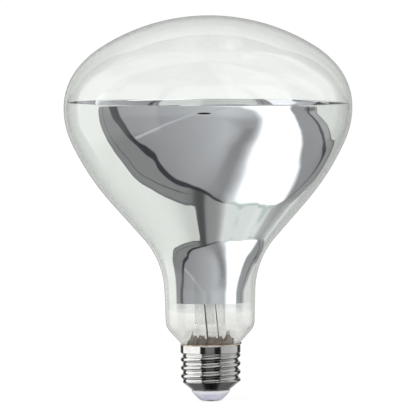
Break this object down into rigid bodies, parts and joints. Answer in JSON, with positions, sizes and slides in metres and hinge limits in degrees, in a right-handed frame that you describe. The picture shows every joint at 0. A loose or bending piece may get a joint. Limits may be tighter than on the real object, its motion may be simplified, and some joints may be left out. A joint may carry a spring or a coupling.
{
  "type": "incandescent reflector bulb",
  "caption": "Domed reflector heat lamp with a clear crown, a silvered bulb, a clear neck over a glass stem, and a round-thread screw cap.",
  "frame": {"origin": "centre of the flat face of the centre contact, on the lamp's axis", "axes": "+Z along the lamp's axis from the contact up to the crown of the bulb, +X to the right as seen from the front, on the side of the soldered side lead"},
  "size_m": [0.125, 0.125, 0.1672],
  "materials": {
    "clear_glass": "clear, polished",
    "silvering": "evaporated metal, mirror bright",
    "stem_glass": "clear, fire polished",
    "seal_wire": "copper-clad, oxidised",
    "outer_lead": "dull, oxidised",
    "inner_lead": "drawn nickel wire",
    "support_wire": "drawn wire",
    "filament": "coiled tungsten",
    "cement": "rough, baked",
    "cap_metal": "nickel plated, bright",
    "insulator": "smooth glassy",
    "contact": "tinned",
    "solder": "dull solder"
  },
  "bodies": {
    "root": {"envelope": "clear_glass", "reflector_coating": "silvering", "stem_flare": "stem_glass", "exhaust_tube": "stem_glass", "glass_arbor": "stem_glass", "seal_wire_left": "seal_wire", "seal_wire_right": "seal_wire", "outer_lead_centre": "outer_lead", "outer_lead_side": "outer_lead", "inner_lead_left": "inner_lead", "inner_lead_right": "inner_lead", "support_wire_1": "support_wire", "support_wire_2": "support_wire", "support_wire_3": "support_wire", "support_wire_4": "support_wire", "support_wire_5": "support_wire", "filament": "filament", "basing_cement": "cement", "screw_shell": "cap_metal", "cap_insulator": "insulator", "contact_eyelet": "contact", "solder_centre": "solder", "solder_side": "solder"}
  },
  "joints": []
}
